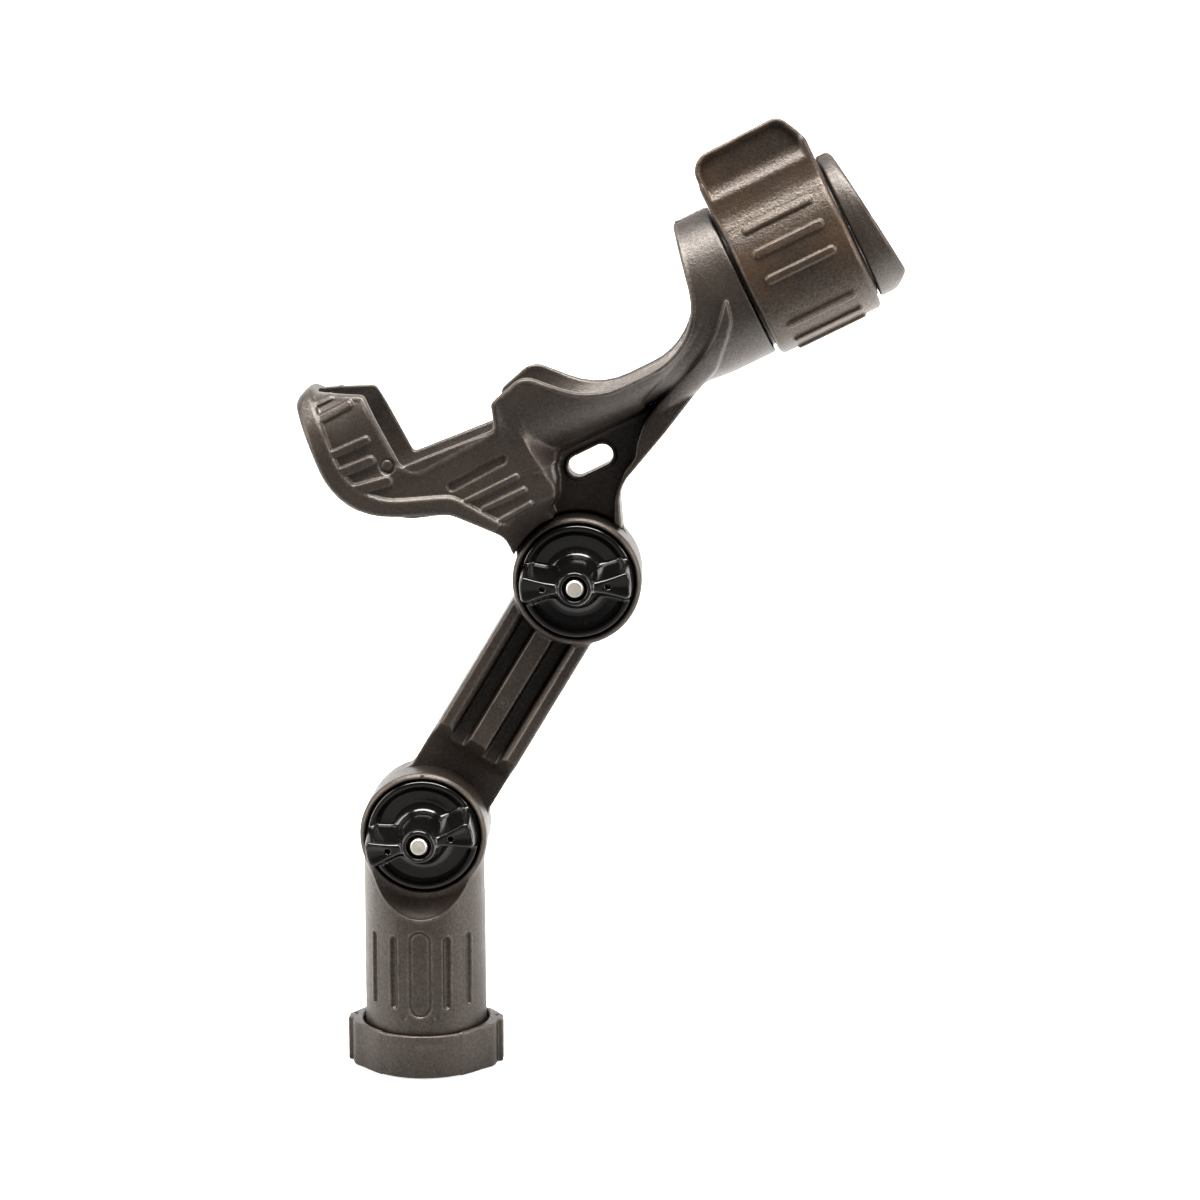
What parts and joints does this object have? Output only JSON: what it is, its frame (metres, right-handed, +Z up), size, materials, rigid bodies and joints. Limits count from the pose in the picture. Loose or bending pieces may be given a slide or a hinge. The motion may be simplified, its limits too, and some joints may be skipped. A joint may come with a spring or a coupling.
{
  "type": "rod holder",
  "caption": "Rod holder: post socket with turning lock collar, extension arm between two toothed knuckles with wing knobs, rod cradle with butt loop and turning lock ring.",
  "frame": {"origin": "centre of the flat seat at the top of the base socket, where the top of a mounting post bears; the socket and collar hang below it", "axes": "+Z up along the base tube; +X the way the rod points; -Y the side the wing knobs are on"},
  "size_m": [0.199, 0.0596, 0.321],
  "materials": {
    "moulded_nylon": "satin black glass-filled nylon with a fine moulded grain",
    "ring_nylon": "smoother satin black nylon",
    "knob_plastic": "glossy near-black moulded plastic",
    "stainless": "bright stainless steel",
    "brass": "turned brass",
    "rubber": "black nitrile rubber"
  },
  "bodies": {
    "base": {"base_tube": "moulded_nylon", "collar_snap_ring": "stainless", "collar_o_ring": "rubber"},
    "collar": {"lock_collar": "moulded_nylon"},
    "arm": {"extension_arm": "moulded_nylon", "lower_bolt": "stainless"},
    "lower_clamp": {"lower_washer": "stainless"},
    "lower_wing": {"lower_knob": "knob_plastic", "lower_knob_insert": "brass"},
    "cradle": {"cradle": "moulded_nylon", "upper_bolt": "stainless", "end_cap": "moulded_nylon", "cap_screw_near": "stainless", "cap_screw_far": "stainless", "cap_screw_bottom": "stainless", "ring_leaf_spring": "stainless"},
    "upper_clamp": {"upper_washer": "stainless"},
    "upper_wing": {"upper_knob": "knob_plastic", "upper_knob_insert": "brass"},
    "ring": {"lock_ring": "ring_nylon"}
  },
  "joints": [
    {"name": "collar_turn", "type": "hinge", "parent": "base", "child": "collar", "pos_m": [0, 0, -0.0445], "axis": [0, 0, 1], "range_deg": [0, 60]},
    {"name": "lower_knuckle", "type": "hinge", "parent": "base", "child": "arm", "pos_m": [0.0008, 0, 0.0304], "axis": [0, 1, 0], "range_deg": [-110, 60]},
    {"name": "lower_knob_travel", "type": "slide", "parent": "base", "child": "lower_clamp", "axis": [0, -1, 0], "range_m": [0, 0.00381]},
    {"name": "lower_knob_turn", "type": "hinge", "parent": "lower_clamp", "child": "lower_wing", "pos_m": [0.0008, -0.007, 0.0304], "axis": [0, -1, 0], "range_deg": [0, 1081]},
    {"name": "upper_knuckle", "type": "hinge", "parent": "arm", "child": "cradle", "pos_m": [0.05282, 0, 0.11767], "axis": [0, 1, 0], "range_deg": [-40, 90]},
    {"name": "upper_knob_travel", "type": "slide", "parent": "arm", "child": "upper_clamp", "axis": [0, -1, 0], "range_m": [0, 0.00381]},
    {"name": "upper_knob_turn", "type": "hinge", "parent": "upper_clamp", "child": "upper_wing", "pos_m": [0.05282, -0.007, 0.11767], "axis": [0, -1, 0], "range_deg": [0, 1081]},
    {"name": "lock_ring_turn", "type": "hinge", "parent": "cradle", "child": "ring", "pos_m": [0.1236, 0, 0.2262], "axis": [-0.8973, 0, -0.4415], "range_deg": [0, 110]}
  ],
  "couplings": [
    {"joint": "lower_knob_turn", "follows": "lower_knob_travel", "rad_per_m": 4947.4},
    {"joint": "upper_knob_turn", "follows": "upper_knob_travel", "rad_per_m": 4947.4}
  ]
}
